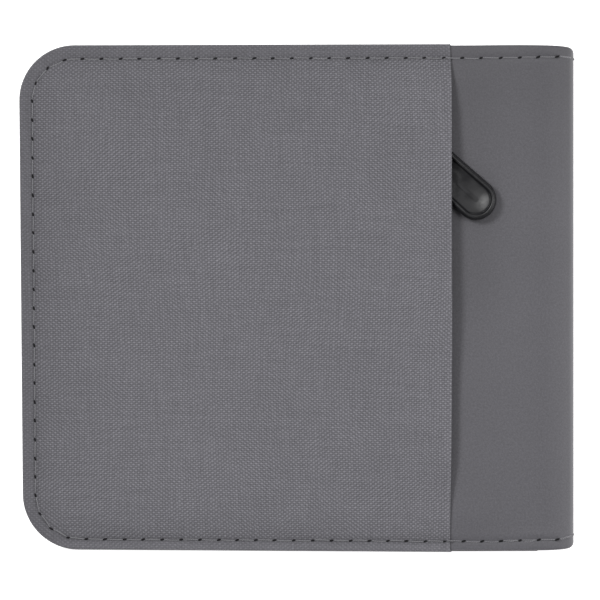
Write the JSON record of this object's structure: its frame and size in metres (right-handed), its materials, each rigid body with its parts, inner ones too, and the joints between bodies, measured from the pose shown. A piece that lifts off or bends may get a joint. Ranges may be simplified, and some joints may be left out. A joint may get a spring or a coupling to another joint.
{
  "type": "bifold wallet",
  "caption": "Flat grey cloth wallet that folds at its spine, with card pockets, a window, a note compartment and a zipped coin pocket under a flap.",
  "frame": {"origin": "middle of the footprint, on the surface that the closed wallet lies on", "axes": "+X to the spine, +Y to the top edge where the note compartment opens, +Z out of the back face with the zip"},
  "size_m": [0.1036, 0.095, 0.0137],
  "materials": {
    "woven_cloth": "plain-woven grey polyester, matt",
    "smooth_coated_cloth": "smooth grey coated cloth, faint grain, satin",
    "pocket_cloth": "plain-woven grey cloth with turned edges",
    "lining_cloth": "fine dark grey lining",
    "thread": "grey sewing thread",
    "zip_tape": "black woven tape",
    "zip_coil": "black nylon",
    "black_metal": "black lacquer, satin",
    "puller_rubber": "black moulded, satin",
    "clear_film": "clear film, glossy"
  },
  "bodies": {
    "front_half": {"front_cover_panel": "woven_cloth", "front_bill_lining": "lining_cloth", "front_hem_side": "lining_cloth", "front_hem_bottom": "lining_cloth", "front_inner_panel": "pocket_cloth", "front_card_pocket_1": "pocket_cloth", "front_card_pocket_2": "pocket_cloth", "front_card_pocket_3": "pocket_cloth", "front_inner_thread": "thread", "front_pocket_thread": "thread"},
    "spine": {"spine_panel": "smooth_coated_cloth", "spine_lining": "lining_cloth"},
    "back_half": {"back_smooth_panel": "smooth_coated_cloth", "back_flap_panel": "woven_cloth", "coin_pocket_outer_wall": "lining_cloth", "coin_pocket_inner_wall": "lining_cloth", "coin_hem_side": "lining_cloth", "coin_hem_bottom": "lining_cloth", "coin_hem_top": "lining_cloth", "coin_hem_spine": "lining_cloth", "back_bill_lining": "lining_cloth", "back_hem_side": "lining_cloth", "back_hem_bottom": "lining_cloth", "back_inner_panel": "pocket_cloth", "back_card_pocket_1": "pocket_cloth", "back_card_pocket_2": "pocket_cloth", "id_window_frame": "pocket_cloth", "id_window_film": "clear_film", "zip_tape_left": "zip_tape", "zip_tape_right": "zip_tape", "zip_coil_left": "zip_coil", "zip_coil_right": "zip_coil", "zip_top_stop": "black_metal", "zip_bottom_stop": "zip_coil", "back_edge_thread": "thread", "back_inner_thread": "thread", "back_pocket_thread": "thread", "zip_thread": "thread"},
    "flap_lip": {"flap_lip": "woven_cloth"},
    "zip_slider": {"slider_body": "black_metal", "slider_bridge": "black_metal"},
    "pull_ring": {"pull_ring": "black_metal"},
    "puller": {"puller": "puller_rubber"}
  },
  "joints": [
    {"name": "fold_front", "type": "hinge", "parent": "front_half", "child": "spine", "pos_m": [0.0506, 0, 0.0012], "axis": [0, 1, 0], "range_deg": [0, 70]},
    {"name": "fold_back", "type": "hinge", "parent": "spine", "child": "back_half", "pos_m": [0.0506, 0, 0.00875], "axis": [0, 1, 0], "range_deg": [0, 105]},
    {"name": "flap_lift", "type": "hinge", "parent": "back_half", "child": "flap_lip", "pos_m": [0.00485, 0, 0.01207], "axis": [0, -1, 0], "range_deg": [0, 20]},
    {"name": "zip_slide", "type": "slide", "parent": "back_half", "child": "zip_slider", "axis": [0, -1, 0], "range_m": [0, 0.044]},
    {"name": "pull_swing", "type": "hinge", "parent": "zip_slider", "child": "pull_ring", "pos_m": [0.02, 0.0307, 0.0112], "axis": [0, 0, 1], "range_deg": [-48, 45]},
    {"name": "pull_lift", "type": "hinge", "parent": "pull_ring", "child": "puller", "pos_m": [0.02305, 0.02796, 0.0112], "axis": [-0.6691, -0.7431, 0], "range_deg": [0, 16]}
  ],
  "couplings": [
    {"joint": "fold_back", "follows": "fold_front", "ratio": 1.5},
    {"joint": "flap_lift", "follows": "pull_lift", "ratio": 1.25}
  ]
}
